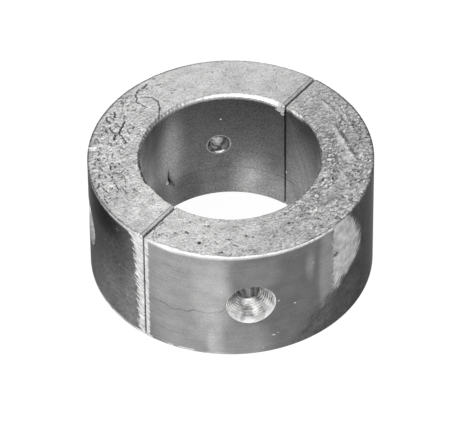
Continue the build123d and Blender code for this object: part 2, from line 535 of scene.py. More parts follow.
# Course of the hairline in the outer wall: (degrees, height mm)
HAIRLINE = [(-176.5, 18.4), (-168, 16.9), (-159.6, 17.5), (-151, 17.9), (-145.3, 21.0)]
# Width in mm of the filed band beside the seam: on the front half, and on the rear half at the
# foot and at the top
FILED_FRONT = 1.75
FILED_REAR = (2.0, 3.4)
# Small bright specks on the outer wall: (degrees, height mm, half-widths mm, tone)
OUTER_SPECKS = [
    (-109.0, 31.6, 0.55, 0.45, 0.30),
    (-109.5, 30.2, 0.40, 0.80, 0.27),
    (-116.9, 17.9, 0.35, 0.25, 0.60),
    (-123.8, 20.8, 0.35, 0.25, 0.60),
    (-125.9, 6.8, 0.45, 0.25, 0.55),
    (-124.1, 7.4, 0.30, 0.20, 0.45),
    (165.4, 37.4, 0.9, 0.20, 0.18),
]

# Light and dark patches on the bore, painted reflections as on the outer wall
BORE_PATCHES = [
    (80, 25, 8, 13, 0.33, 1.2),
    (94, 6, 13, 9, 0.105, 2),
    (66, 5, 11, 8, 0.105, 2),
    (24, 5, 9, 9, 0.44, 1.2),
    (5, 2, 16, 9, 0.30, 2),
    (-18, 8, 14, 18, 0.25, 2),
]
# Tone of the bore beside them, a painted reflection that darkens towards the top and is lightest
# where the bore is seen edge-on: (degrees, at its foot, at its top)
BORE_TONES = [
    (-180, 0.20, 0.09), (-60, 1.00, 0.85), (-50, 0.88, 0.62), (-42, 0.60, 0.42),
    (-32, 0.36, 0.20), (-10, 0.263, 0.117), (0, 0.19, 0.084), (37, 0.176, 0.078),
    (70, 0.19, 0.084), (94, 0.243, 0.125), (104, 0.38, 0.24), (113, 0.62, 0.46),
    (124, 0.97, 0.80), (180, 0.16, 0.07),
]

TOOL_RING = 12.0  # height in mm of a dark tool ring in the bore
# Bright burrs and specks on the bore, the three at the top near 0 degrees being painted highlights
# where the bore's corner at the seam catches the light: (degrees, height mm, half-widths mm, tone)
BORE_BURRS_AND_GLINTS = [
    (3.6, 39.6, 1.5, 1.2, 0.95),
    (2.0, 38.2, 0.8, 0.8, 0.80),
    (7.0, 40.2, 1.5, 0.5, 0.95),
    (-0.9, 14.2, 0.35, 0.45, 0.90),
    (43.7, 31.6, 0.30, 0.30, 0.60),
    (82.9, 12.2, 0.50, 0.70, 0.50),
]

# Scars in the bore's wall: ([(degrees, height mm, width mm), ...], depth mm)
BORE_SCARS = [
    ([(81.8, 17.0, 0.12), (81.4, 14.6, 0.40), (80.6, 12.8, 0.60), (79.2, 11.4, 0.45),
      (76.6, 8.8, 0.12)], 0.45),
    ([(82.6, 15.4, 0.12), (81.2, 13.2, 0.35), (80.0, 11.6, 0.30)], 0.40),
    ([(96.0, 22.0, 0.12), (92.0, 17.0, 0.22), (88.0, 13.0, 0.15)], 0.08),
    ([(88.0, 7.0, 0.12), (83.0, 6.0, 0.25), (77.0, 5.6, 0.12)], 0.08),
]

# Dark stains in the cone of one screw hole: (where each lies, how far it reaches), in mm
HOLE_STAINS = [((-30.4, -25.4, 21.6), 1.6), ((-29.2, -28.1, 15.0), 2.0)]
DRILL_PITCH = 0.62  # mm between the drill's rings in the cones

# Random pits and dashes between the placed ones
PITTING_TRIES = 3500
PITTING_RADII = (28.6, 42.9)  # mm
PITTING_WIDTH = (0.17, 0.28)  # mm
PITTING_DEPTH = (0.12, 0.36)  # mm
WELL_MARKED = (92, 160)  # degrees between which few are added
FLAKE = (83, 5, 38.5)  # smooth flake without them: degrees, half-width in degrees, radius mm
PITTING_SEED = 7
WANDER_SEED = 7  # for the wander of the lines, which is otherwise new in each run
LINE_WANDER = 0.18  # mm
FURROWED = (-120, -8)  # degrees between which the furrows and skin patches lie


def smooth_step(share):
    """0 to 1 with a smooth start and end."""
    share = min(1.0, max(0.0, share))
    return share * share * (3 - 2 * share)


def round_the_ring(table, degrees):
    """The values of a table of (degrees, ...) rows at an angle, blended between its rows."""
    for low, high in zip(table, table[1:] + [(table[0][0] + 360,) + tuple(table[0][1:])]):
        if low[0] <= degrees <= high[0]:
            share = smooth_step((degrees - low[0]) / max(1e-6, high[0] - low[0]))
            return [a + (b - a) * share for a, b in zip(low[1:], high[1:])]
    return list(table[0][1:])


def turned_apart(degrees, other):
    """The angle between two directions, in degrees."""
    return abs((degrees - other + 180) % 360 - 180)


def on_ring(degrees, radius_mm):
    """A point in the plane of the ring, in mm."""
    turn = math.radians(degrees)
    return Vector((radius_mm * math.cos(turn), radius_mm * math.sin(turn), 0))


def face_place(across, down):
    """The place on the cast face at a pixel of the camera's image: degrees and radius in mm, to
    a tenth."""
    rise, roll = math.radians(CAMERA_ELEVATION), math.radians(CAMERA_ROLL)
    across -= IMAGE_WIDTH / 2 + OBJECT_OFFSET[0]
    above = IMAGE_HEIGHT / 2 - OBJECT_OFFSET[1] - down
    aside = across * math.cos(roll) - above * math.sin(roll)
    above = across * math.sin(roll) + above * math.cos(roll)
    half_height = cad_high.z / MM / 2
    away = FOCAL_PIXELS * PIXEL / MM
    reach = ((away * math.sin(rise) - half_height)
             / (FOCAL_PIXELS * math.sin(rise) - above * math.cos(rise)))
    near = (away * math.cos(rise)
            - reach * (FOCAL_PIXELS * math.cos(rise) + above * math.sin(rise)))
    degrees = CAMERA_TURN + math.degrees(math.atan2(reach * aside, near))
    return round(math.remainder(degrees, 360), 1), round(math.hypot(reach * aside, near), 1)


def left_line(width, depth):
    """Width and depth in mm, to a hundredth, that a line of the left is cut with."""
    wider, deeper = DEEP_GAIN if depth >= DEEP_LINE else SHALLOW_GAIN
    width = round(round(width * wider, 2) * LEFT_FINENESS, 2)
    return width, round(min(DEEPEST_LINE, depth * deeper), 2)


class Marks:
    """Lines and pits in the cast face, each a run of dents found by their distance."""

    def __init__(self):
        self.dents = []

    def add(self, point, width, depth):
        self.dents.append((point, width, depth))

    def add_line(self, points, width, depth, wander):
        """A run of dents along the points, with a little wander and uneven depth."""
        step = width * 0.45
        for start, end in zip(points, points[1:]):
            count = max(1, math.ceil((end - start).length / step))
            for i in range(count + 1):
                point = start.lerp(end, i / count)
                offset = noise.noise_vector(point * 1.3) * wander
                uneven = 0.8 + 0.35 * noise.noise(point * 0.9)
                self.add(point + Vector((offset.x, offset.y, 0)), width * uneven,
                         depth * uneven)

    def tree(self):
        found = kdtree.KDTree(len(self.dents))
        for i, (point, _, _) in enumerate(self.dents):
            found.insert(point, i)
        found.balance()
        return found


def scatter_pitting(marks, chance):
    """Short curved dashes and pits over the zones where the skin is pitted."""
    least, most = PITTING_RADII
    for _ in range(PITTING_TRIES):
        degrees = chance.uniform(-180, 180)
        radius = math.sqrt(chance.uniform(least ** 2, most ** 2))
        pitting = round_the_ring(CAST_ZONES, degrees)[0]
        towards_rim = smooth_step((radius - 27) / 15)
        flake = turned_apart(degrees, FLAKE[0]) < FLAKE[1] and radius < FLAKE[2]
        between = 0.40 if WELL_MARKED[0] < degrees < WELL_MARKED[1] else 1.0
        likely = between * (pitting - 0.15) * (0.10 + 0.40 * towards_rim)
        if flake or chance.random() > likely:
            continue
        start = on_ring(degrees, radius)
        width = chance.uniform(*PITTING_WIDTH)
        depth = chance.uniform(*PITTING_DEPTH)
        if chance.random() < 0.45:
            marks.add(start, width * 1.2, depth)
            continue
        heading = chance.uniform(-math.pi, math.pi)
        points = [start]
        for _ in range(chance.randint(2, 5)):
            heading += chance.uniform(-0.9, 0.9)
            points.append(points[-1] + 0.35 * Vector((math.cos(heading), math.sin(heading), 0)))
        marks.add_line(points, width, depth, 0.1)


def rim_wander(point):
    """How much wider a chamfer is at a point than its plan, in mm."""
    return 0.12 * noise.noise(point / 1.7) + 0.06 * noise.noise(point / 0.6)


def chatter(degrees):
    """Depth in mm of the tool's chatter on the bore's chamfer at an angle."""
    start, end, pitch, depth = CHATTER
    share = smooth_step((degrees - start) / 12) * smooth_step((end - degrees) / 8)
    arc = math.radians(degrees) * MOUNTS["hub_seat"]["dims"]["r_mm"]
    return share * depth * math.sin(arc * 2 * math.pi / pitch + 2 * noise.noise((arc, 0, 0)))


def cast_marks():
    """All the lines and pits of the cast face."""
    noise.seed_set(WANDER_SEED)
    marks = Marks()
    lines = list(CRACKS)
    for path, width, depth in LEFT_LINES:
        lines.append(([face_place(*pixel) for pixel in path], *left_line(width, depth)))
    for path, width, depth in OTHER_LINES:
        lines.append(([face_place(*pixel) for pixel in path], width, depth))
    for path, width, depth in lines:
        marks.add_line([on_ring(*point) for point in path], width, depth, LINE_WANDER)
    for across, down, width, depth in CAST_PITS:
        marks.add(on_ring(*face_place(across, down)), width, depth)
    scatter_pitting(marks, random.Random(PITTING_SEED))
    return marks


def patched_skin(point, patches):
    """How rough and how light the cast skin is at a point, as shares of the skin about it."""
    rough, light = 1.0, 1.0
    for path, patch_rough, patch_light in patches:
        near = nearness(point, path)
        rough += (patch_rough - rough) * near
        light += (patch_light - light) * near
    return rough, light


def cast_relief(point, degrees, scale, rough):
    """How far the cast skin lies below the top at a point, in mm, without its marks."""
    _, wrinkling, grain, _ = round_the_ring(CAST_ZONES, degrees)
    wrinkling, grain = wrinkling * rough, grain * rough
    swell = 0.12 * noise.noise(point / 6.0) + 0.07 * noise.noise(point / 2.6)
    folds = noise.noise(point / 1.6) + 0.5 * abs(noise.noise(point / 0.85))
    lumps = noise.noise(point / 0.75)
    sand = noise.noise(point / 0.40)
    drop = 0.35 + swell + wrinkling * (0.22 * folds + 0.30 * lumps + 0.12 * sand)
    drop += grain * (0.06 * lumps + 0.07 * sand)
    return max(0.0, drop * scale)


def skin_edges(point, degrees, radius):
    """Depth in mm of the broken, winding edges where the skin of the casting has peeled."""
    pitting = round_the_ring(CAST_ZONES, degrees)[0]
    shifted = point + Vector((31.0, 7.0, 3.0))
    contour = noise.noise((point + shifted * 0.2) / 1.35) + 0.35 * noise.noise(point / 0.6)
    broken = smooth_step((noise.noise(shifted) + 0.10) / 0.30)
    towards_rim = 0.35 + 0.65 * smooth_step((radius - 28) / 12)
    line = math.exp(-(contour / 0.075) ** 2)
    return 0.26 * line * broken * max(0.0, pitting - 0.12) * towards_rim


def nearness(point, path):
    """How near a point is to a path of (place, width): 1 on it, falling to 0 beside it."""
    best = 0.0
    for (start, start_width), (end, end_width) in zip(path, path[1:]):
        run = end - start
        share = min(1.0, max(0.0, (point - start).dot(run) / run.length_squared))
        width = start_width + (end_width - start_width) * share
        away = (point - start - run * share).length
        best = max(best, math.exp(-(away / width) ** 2))
    return best


def patched_tone(patches, tone, degrees, height):
    """A wall's tone at a place, after its light and dark patches of painted reflection."""
    for centre, level, wide, tall, patch_tone, sharpness in patches:
        away = math.hypot(turned_apart(degrees, centre) / wide, (height - level) / tall)
        tone += (patch_tone - tone) * math.exp(-away ** (2 * sharpness) * 0.7)
    return tone


# ---------------------------------------------------------------- pressing the finish in

def shape_top(co, sizes, finish, marks, near_dents, paths):
    """Presses the cast skin and the rims' chamfers into a point of the upper face."""
    radius, degrees = math.hypot(co.x, co.y), math.degrees(math.atan2(co.y, co.x))
    top = sizes.height / MM
    outer_rim, outer_tone, bore_rim, bore_tone = round_the_ring(RIMS, degrees)
    flat = Vector((co.x, co.y, 0)) / MM
    dent = skin_edges(flat, degrees, radius / MM)
    for _, i, away in near_dents(flat):
        _, width, depth = marks.dents[i]
        dent = max(dent, depth * math.exp(-(away / width) ** 2))
    rough, light, furrow = 1.0, 1.0, 0.0
    furrowed = FURROWED[0] < degrees < FURROWED[1]
    if furrowed:
        rough, light = patched_skin(flat, paths.patches)
        furrow = sum(nearness(flat, path) * depth for path, depth in paths.furrows)
        # Furrows are darkened and ridges lightened: painted shade and painted highlight of the
        # relief
        light *= 1 - 0.7 * furrow
    cast = top - cast_relief(flat, degrees, finish.cast_relief, rough) - dent
    if furrowed:
        cast = min(cast - furrow, top - 0.02)
    uneven = rim_wander(flat)
    outer_cone = outer_rim + uneven - (sizes.outer_radius - radius) / MM
    bore_cone = bore_rim + uneven + chatter(degrees) - (radius - sizes.bore_radius) / MM
    cone = top - max(outer_cone, bore_cone)
    co.z = min(cast, cone) * MM
    cut_share = smooth_step((cast - cone) / 0.12 + 0.5)
    # A dark line of painted shade where the cast face meets the rims' chamfers
    shade_width, shade = 0.13, 0.6
    if outer_cone > bore_cone:
        shade_width, shade = round_the_ring(RIM_SHADE, degrees)
        shade *= 1 + 0.5 * noise.noise(flat / 0.9)
    painted_rim_shade = min(1.0, shade) * math.exp(-((cast - cone) / shade_width) ** 2)
    dark = max(smooth_step((dent - 0.04) / 0.20) * (1 - cut_share), painted_rim_shade)
    nick = max(nearness(flat, path) for path in paths.nicks)
    _, wrinkling, _, cast_tone = round_the_ring(CAST_ZONES, degrees)
    cast_tone *= light
    # The chamfers' tones are partly the cut zinc's own brightness and partly painted highlight and
    # shade
    cut_tone = outer_tone if outer_cone > bore_cone else bore_tone
    tone = cast_tone + (cut_tone - cast_tone) * cut_share
    if nick > 0.3:
        tone, cut_share, dark = NICK_GLINT_TONE, 1.0, 0.0
    from_end = abs(co.y) - sizes.half_gap
    bevel = SAWN_TOP_BEVEL[co.y > 0]
    if from_end < bevel:
        away = 1 - max(0.0, from_end) / bevel
        co.z -= bevel * (1 - math.sqrt(1 - away * away)) * 0.8
        # The bevel is darkened, and a dark line drawn at its edge by the seam, as painted shade
        # between the halves
        tone *= 1 - 0.25 * smooth_step(away * 4)
        dark = max(dark, 0.85 * math.exp(-((away - 0.05) / 0.14) ** 2))
    return tone, dark, cut_share, min(1.5, wrinkling * 1.2 * rough)


def shape_wall(co, sizes, outside, scars):
    """Trues a point of a wall to the rim above it, and presses scars into the bore."""
    degrees = math.degrees(math.atan2(co.y, co.x))
    outer_rim, _, bore_rim, _ = round_the_ring(RIMS, degrees)
    low, rim, dark = sizes.height * 0.8, sizes.height - RIM_DROP, 0.0
    if co.z > low:
        edge = outer_rim if outside else bore_rim + chatter(degrees)
        edge = sizes.height - (edge + rim_wander(Vector((co.x, co.y, 0)) / MM)) * MM
        co.z = low + (co.z - low) * (edge - low) / (rim - low)
    height = co.z / MM
    if outside:
        # The outer wall's tone and patches are painted reflections
        tone = round_the_ring(OUTER_TONES, degrees)[0]
        return patched_tone(OUTER_PATCHES, tone, degrees, height), dark
    # The bore's tone, darker towards its top, and its patches are painted reflections
    foot_tone, top_tone = round_the_ring(BORE_TONES, degrees)
    tone = foot_tone + (top_tone - foot_tone) * co.z / sizes.height
    tone = patched_tone(BORE_PATCHES, tone, degrees, height)
    place = Vector((math.radians(degrees) * sizes.bore_radius / MM, height))
    for path, depth in scars:
        near = nearness(place, path)
        co.xy *= 1 + near * depth * MM / sizes.bore_radius
        dark = max(dark, near * min(1.0, depth * 2.4))
    return tone, dark


def round_sawn_edge(co, sizes, outside):
    """Rounds a wall off beside the sawn end."""
    from_end = abs(co.y) - sizes.half_gap
    if from_end < SAWN_EDGE_ROUND:
        away = 1 - max(0.0, from_end) / SAWN_EDGE_ROUND
        inward = SAWN_EDGE_ROUND * (1 - math.sqrt(1 - away * away))
        radius = math.hypot(co.x, co.y) + (-inward if outside else inward)
        co.x = math.copysign(math.sqrt(radius ** 2 - co.y ** 2), co.x)


def ring_path(points, width):
    """A path over the cast face, as (place in mm, width)."""
    return [(on_ring(*point), width) for point in points]


class Paths:
    """The nicks, furrows and patches of the cast face and the bore's scars, laid out in mm."""

    def __init__(self, sizes):
        bore = sizes.bore_radius / MM
        self.nicks = [ring_path(*nick) for nick in CAST_NICKS]
        self.furrows = [(ring_path(path, width), depth) for path, width, depth in CAST_FURROWS]
        self.patches = [(ring_path(path, width), *shares) for path, width, *shares in SKIN_PATCHES]
        self.scars = [([(Vector((math.radians(turn) * bore, level)), width)
                        for turn, level, width in path], depth) for path, depth in BORE_SCARS]


def finish_half(piece, sizes, finish, marks):
    """Presses the cast relief and broken edges into a half and writes its tone and marks, with
    painted reflections, highlights and shade among them.
    """
    mesh = piece.data
    dents, paths = marks.tree(), Paths(sizes)
    widest = max(width for _, width, _ in marks.dents) * 2.4
    written = [mesh.attributes.new(name, "FLOAT", "POINT")
               for name in ("tone", "pitting", "turned", "coarse")]
    for vert in mesh.vertices:
        co = vert.co.copy()
        radius = math.hypot(co.x, co.y)
        values = (0.3, 0.0, 0.0, 0.0)
        outside = radius > sizes.outer_radius - ON_WALL
        inside = radius < sizes.bore_radius + ON_WALL
        if co.z > sizes.height - RIM_DROP - HAIR:
            values = shape_top(co, sizes, finish, marks,
                               lambda flat: dents.find_range(flat, widest), paths)
        elif (outside or inside) and co.z > BOTTOM_CHAMFER * 0.5:
            values = (*shape_wall(co, sizes, outside, paths.scars), 0.0, 0.0)
        if outside or inside:
            round_sawn_edge(co, sizes, outside)
        vert.co = co
        for attribute, value in zip(written, values):
            attribute.data[vert.index].value = value
    mesh.update()


def sharpen_edges(piece, degrees):
    """Smooth shading with sharp edges, except within the cast face."""
    bm = bmesh.new()
    bm.from_mesh(piece.data)
    limit = math.radians(degrees)
    for face in bm.faces:
        face.smooth = True
    for edge in bm.edges:
        slots = {face.material_index for face in edge.link_faces}
        edge.smooth = slots == {0} or edge.calc_face_angle(0.0) < limit
    bm.to_mesh(piece.data)
    bm.free()


# ---------------------------------------------------------------- materials

PIT_TONE = 0.05  # tone in the depth of a pit or a crack, and of the painted shade along the rims and the seam
SCAR_TONE = 0.03  # tone in a scar of the bore
NOISE_RANGE = (0.3, 0.7)  # nearly all of a noise lies between these
RAGGED = (-0.35, 0.35)  # how far a spot's outline wanders, in shares of its size


def add_node(tree, kind, inputs=None, **settings):
    """Adds a shader node, sets it up and feeds it, and returns its outputs."""
    node = tree.nodes.new(kind)
    for key, value in settings.items():
        setattr(node, key, value)
    for socket, value in (inputs or {}).items():
        value = getattr(value, "socket", value)
        if isinstance(value, bpy.types.NodeSocket):
            tree.links.new(value, node.inputs[socket])
        else:
            node.inputs[socket].default_value = value
    return node.outputs


class Value:
    """A value that varies over a surface. What is done with it adds shader nodes."""

    def __init__(self, tree, socket):
        self.tree, self.socket = tree, socket

    def through(self, kind, inputs, output=0, **settings):
        """The output of a new node."""
        return Value(self.tree, add_node(self.tree, kind, inputs, **settings)[output])

    def calc(self, operation, other=0.0, clamp=False):
        return self.through("ShaderNodeMath", {0: self, 1: other}, operation=operation,
                            use_clamp=clamp)

    def __add__(self, other):
        return self.calc("ADD", other)

    def __sub__(self, other):
        return self.calc("SUBTRACT", other)

    def __mul__(self, other):
        return self.calc("MULTIPLY", other)

    def __gt__(self, other):
        return self.calc("GREATER_THAN", other)

    def __lt__(self, other):
        return self.calc("LESS_THAN", other)

    def __abs__(self):
        return self.calc("ABSOLUTE")

    def larger(self, other):
        return self.calc("MAXIMUM", other)

    def ramp(self, low, high, start=0.0, end=1.0):
        """Maps low..high to start..end, smoothly and clamped."""
        return self.through("ShaderNodeMapRange", {0: self, 1: low, 2: high, 3: start, 4: end},
                            interpolation_type="SMOOTHSTEP")

    def spread(self, low, high):
        """Maps the range of a noise to low..high."""
        return self.ramp(*NOISE_RANGE, low, high)

    def blend(self, first, second):
        """Mixes two values, with this one as the share of the second."""
        return self.through("ShaderNodeMix", {0: self, 2: first, 3: second})

    def where(self, share, factor):
        """This value, times a factor where a share is 1."""
        return self * share.ramp(0.0, 1.0, 1.0, factor)

    def curve(self, points):
        """A smooth curve through (value, result) points."""
        low, high = points[0][0], points[-1][0]
        least = min(result for _, result in points)
        spread = max(result for _, result in points) - least
        share = self.through("ShaderNodeMapRange", {0: self, 1: low, 2: high})
        curved = self.through("ShaderNodeFloatCurve", {"Value": share})
        mapping = curved.socket.node.mapping
        line = mapping.curves[0]
        for place, result in points[1:-1]:
            line.points.new((place - low) / (high - low), (result - least) / spread)
        line.points[0].location = (0, (points[0][1] - least) / spread)
        line.points[-1].location = (1, (points[-1][1] - least) / spread)
        mapping.update()
        return curved * spread + least

    def scaled(self, scale):
        return self.through("ShaderNodeMapping", {"Vector": self, "Scale": scale})

    def noise(self, scale, detail=2.0, roughness=0.5):
        return self.through("ShaderNodeTexNoise", {"Vector": self, "Scale": scale,
                                                   "Detail": detail, "Roughness": roughness})

    def laid_flat(self, up):
        """A place this far along a wall laid flat, and so far up it."""
        return self.through("ShaderNodeCombineXYZ", {0: self, 1: up, 2: 0.0})

    def lines(self, slant, pitch, length, seed):
        """Fine broken lines on a wall laid flat, at a slant in degrees."""
        turned = self.through("ShaderNodeMapping", {
            "Vector": self, "Location": (seed, seed, seed),
            "Rotation": (0, 0, math.radians(-slant)),
        })
        return turned.scaled((1 / length, 1 / pitch, 1)).noise(1.0, 2.0, 0.6)

    def spot(self, radius, degrees, height, wide, tall):
        """One round spot on a wall laid flat: its place, and its half-widths in mm."""
        centred = self.through("ShaderNodeMapping", {
            "Vector": self, "Scale": (1 / wide, 1 / tall, 0),
            "Location": (-math.radians(degrees) * radius / MM / wide, -height / tall, 0),
        })
        away = self.through("ShaderNodeVectorMath", {0: centred}, "Value", operation="LENGTH")
        return (away + self.noise(1.2).spread(*RAGGED)).ramp(1.2, 0.8)

    def ball(self, centre, reach):
        """A round region about a place: its centre and how far it reaches, in mm."""
        away = self.through("ShaderNodeVectorMath", {0: self, 1: Vector(centre) * MM}, "Value",
                            operation="DISTANCE")
        away = away * (1 / (reach * MM)) + self.noise(700.0).spread(*RAGGED)
        return away.ramp(1.5, 0.7)

    def specks(self, spacing, size, share):
        """Sparse small specks: their spacing and size in mm, and the share of cells with one."""
        cells = add_node(self.tree, "ShaderNodeTexVoronoi", {"Vector": self, "Scale": 1 / spacing})
        pick = self.through("ShaderNodeSeparateColor", {0: cells["Color"]})
        away = Value(self.tree, cells["Distance"])
        return away.ramp(size / spacing, 0.4 * size / spacing) * (pick < share)


class Recipe:
    """A zinc finish: its shader, and the values that feed it."""

    def __init__(self, name, roughness, edge=1.0):
        self.material = bpy.data.materials.new(name)
        self.material.use_nodes = True
        self.tree = self.material.node_tree
        self.shader = self.tree.nodes["Principled BSDF"]
        self.shader.inputs["Metallic"].default_value = 1.0
        self.shader.inputs["Roughness"].default_value = roughness
        self.shader.inputs["Specular Tint"].default_value = (*[edge] * 3, 1)
        self.place = Value(self.tree, add_node(self.tree, "ShaderNodeTexCoord")["Object"])

    def axes(self):
        """The place along X, Y and Z, in metres."""
        parts = add_node(self.tree, "ShaderNodeSeparateXYZ", {0: self.place})
        return [Value(self.tree, part) for part in parts]

    def attribute(self, name):
        parts = add_node(self.tree, "ShaderNodeAttribute", attribute_name=name)
        return Value(self.tree, parts["Fac"])

    def unrolled(self, radius):
        """A round wall laid flat: the place on it, and how far along it in mm, up it in mm,
        and round it in degrees."""
        x, y, z = self.axes()
        along, up = y.calc("ARCTAN2", x) * (radius / MM), z * (1 / MM)
        return along.laid_flat(up), along, up, along * math.degrees(MM / radius)

    def feed(self, socket, value):
        self.tree.links.new(value.socket, self.shader.inputs[socket])

    def colour(self, tone, finish):
        """Feeds the base colour: the zinc's hue, darkened to a tone."""
        grey = tone.through("ShaderNodeCombineColor", {0: tone, 1: tone, 2: tone})
        self.feed("Base Color", grey.through(
            "ShaderNodeMix", {0: 1.0, 6: grey, 7: (*finish.zinc_colour, 1)}, 2,
            data_type="RGBA", blend_type="MULTIPLY"))

    def bump(self, height, distance):
        """Feeds the normal with a bump, its height in units of the distance."""
        self.feed("Normal", height.through(
            "ShaderNodeBump", {"Height": height, "Distance": distance, "Strength": 1.0}, "Normal"))


def cast_zinc(sizes, finish):
    """As-cast upper face with dark pits and cracks, and the bright chamfers turned on its rims,
    whose changing tone round the ring is partly painted highlight and shade.
    """
    r = Recipe("zinc_cast", 0.34)
    tone, pits_and_shade, turned = r.attribute("tone"), r.attribute("pitting"), r.attribute("turned")
    coarse = r.attribute("coarse") * r.place.noise(260.0).ramp(0.40, 0.60, 0.30, 1.0)
    cloud = r.place.noise(330.0, 3.0, 0.6)
    sand = r.place.noise(2200.0, 3.0, 0.7)
    grit = r.place.noise(1000.0, 2.0, 0.6)
    speck = r.place.noise(1500.0, 2.0, 0.6).ramp(0.58, 0.70)
    brushed = r.place.scaled((520, 2300, 1)).noise(1.0, 2.0, 0.6)
    elsewhere = r.place.through("ShaderNodeVectorMath", {0: r.place, 1: (0.3, 0.1, 0.2)})
    dots = elsewhere.noise(1050.0, 1.0)
    around, _, _, degrees = r.unrolled(sizes.bore_radius)
    calm = degrees.ramp(-5.0, 10.0) * degrees.ramp(90.0, 70.0)
    cast = tone * calm.blend(cloud.spread(0.85, 1.13), cloud.spread(0.92, 1.06))
    cast *= r.place.noise(90.0).spread(0.92, 1.07)
    cast *= calm.blend(sand.spread(0.72, 1.21), sand.spread(0.84, 1.12))
    for uneven in (grit.ramp(0.35, 0.65, 0.70, 1.25), brushed.ramp(0.36, 0.64, 0.62, 1.34),
                   dots.ramp(0.58, 0.66, 1.0, 0.36), dots.ramp(0.42, 0.34, 1.0, 1.55)):
        cast *= coarse.blend(1.0, uneven)
    cast = cast.where(speck, 0.50)
    # The chamfers: strokes of the tool, and grit in the worn part of the rims
    strokes = (degrees.ramp(55.0, 75.0) * degrees.ramp(165.0, 156.0)).blend(
        grit.ramp(0.35, 0.48, 0.78, 1.0),
        around.lines(90, 0.36, 6, 9.0).ramp(0.35, 0.65, 0.55, 1.20))
    cut_tone = tone.calc("MULTIPLY", strokes, clamp=True)
    # The pitting attribute holds the pits and cracks, and also the painted shade along the rims
    # and the seam, all drawn in the pits' tone
    r.colour(pits_and_shade.blend(turned.blend(cast, cut_tone), PIT_TONE), finish)
    r.feed("Roughness", turned.blend(sand.spread(0.28, 0.42), 0.34))
    relief = sand * 0.6 + cloud * 0.4 + coarse * grit
    r.bump(relief * turned.blend(1.0, 0.35), 0.2 * MM)
    return r.material


def turned_zinc(sizes, finish):
    """Dull turned outer wall, filed bright beside the seam on the -X side, with scratches; its
    tone and patches are painted reflections, with painted highlights along its bottom edge and at
    the seam's top corner.
    """
    r = Recipe("zinc_turned", 0.40, edge=0.45)
    flat, _, up, degrees = r.unrolled(sizes.outer_radius)
    x, y, _ = r.axes()
    on_rear = y > 0.0
    fine = flat.lines(0, 0.25, 9, 3.0)
    smear = flat.noise(0.16, 3.0, 0.55)
    grain = flat.noise(2.2, 2.0, 0.7)
    hatch = flat.lines(52, 0.24, 2.6, 21.0)
    feather = flat.lines(52, 0.34, 3.6, 27.0).spread(-2.6, 2.6)
    wall = r.attribute("tone") * fine.spread(0.945, 1.055)
    wall *= flat.lines(2, 1.3, 40, 11.0).ramp(0.35, 0.65, 0.975, 1.025)
    wall *= smear.spread(0.88, 1.12)
    wall *= grain.spread(0.86, 1.14)
    wall *= on_rear.blend(1.0, flat.noise(0.8, 3.0, 0.75).spread(0.76, 1.28))
    # Bright rubbed patch
    past_left = degrees - RUBBED_LEFT + flat.noise(0.9, 3.0, 0.7).spread(-1.6, 1.2)
    past_right = degrees - up.curve(RUBBED_RIGHT) + feather
    rubbed = past_left.ramp(-1.5, 1.2) * past_right.ramp(1.5, -1.5)
    rubbed_tone = hatch.spread(0.86, 1.14) * flat.noise(0.35, 3.0, 0.6).spread(0.74, 1.20)
    blotch = flat.spot(sizes.outer_radius, *RUBBED_BLOTCH)
    wall = rubbed.blend(wall, blotch.blend(rubbed_tone * 0.50, 0.13))
    # Dark scratched skin below it and to its right
    below = degrees.curve(DARK_LIMIT) - up + feather * 1.1
    skin = below.ramp(-1.6, 1.6).larger(past_right.ramp(-1.3, 1.3))
    skin *= degrees.ramp(-126.0, -110.0) * (degrees < 0.0)
    skin_tone = degrees.ramp(-112.0, -62.0, 0.105, 0.058) * hatch.ramp(0.50, 0.68, 0.9, 2.1)
    skin_tone *= smear.spread(0.82, 1.18) * grain.spread(0.8, 1.2)
    wall = skin.blend(wall, skin_tone)
    # Specks
    wall = flat.specks(5.0, 0.32, 0.3).blend(wall, 0.5)
    for *where, speck_tone in OUTER_SPECKS:
        wall = flat.spot(sizes.outer_radius, *where).blend(wall, speck_tone)
    # Longer dark tool lines near the seam on the front half
    drawn = flat.lines(-7, 0.7, 16, 41.0).ramp(0.40, 0.34) * degrees.ramp(-158.0, -168.0)
    wall = wall.where(drawn, 0.80)
    # Hairline that runs from the seam into the screw hole
    off = abs(up - degrees.curve(HAIRLINE) - flat.noise(0.28, 0.0).spread(-0.45, 0.45))
    crack = off.ramp(0.28, 0.08) * (degrees > HAIRLINE[0][0]) * (degrees < HAIRLINE[-1][0])
    crack *= grain.ramp(0.35, 0.6, 0.70, 0.30)
    wall = crack.blend(wall, PIT_TONE)
    # Painted highlight along the bottom edge, where its chamfer catches the light: in dashes
    # beside the seam on the -X side, and as a faint band along the rear half
    by_edge = up.ramp(1.35, 1.0) * up.ramp(0.40, 0.60)
    painted_bottom_highlight = by_edge * flat.noise(0.30).ramp(0.52, 0.56) * abs(degrees).ramp(140.0, 156.0)
    wall = painted_bottom_highlight.larger(on_rear * by_edge * 0.45).blend(wall, 0.70)
    # Filed band beside the seam, feathered by slanting strokes
    strokes = flat.lines(-34, 0.42, 2.6, 5.0)
    reach = on_rear.blend(FILED_FRONT, up.ramp(0.0, 38.0, *FILED_REAR))
    reach += strokes.spread(-1.0, 1.2) * on_rear.blend(0.3, 1.0)
    # On the rear half the band widens at the top as a painted highlight where the seam's rounded
    # corner catches the light
    reach += on_rear * up.ramp(35.0, 41.0, 0.0, 2.2)
    filed = (reach - abs(y) * (1 / MM)).ramp(-0.15, 0.35) * (x < 0.0)
    filed_tone = strokes.ramp(0.35, 0.60, 0.62, 1.12) * 0.83
    r.colour(filed.blend(wall, filed_tone), finish)
    r.feed("Roughness", filed.blend(smear.spread(0.36, 0.44), 0.45))
    r.bump(fine + filed * strokes * 1.5 + hatch * (skin.larger(rubbed) * 1.2), 0.015 * MM)
    return r.material


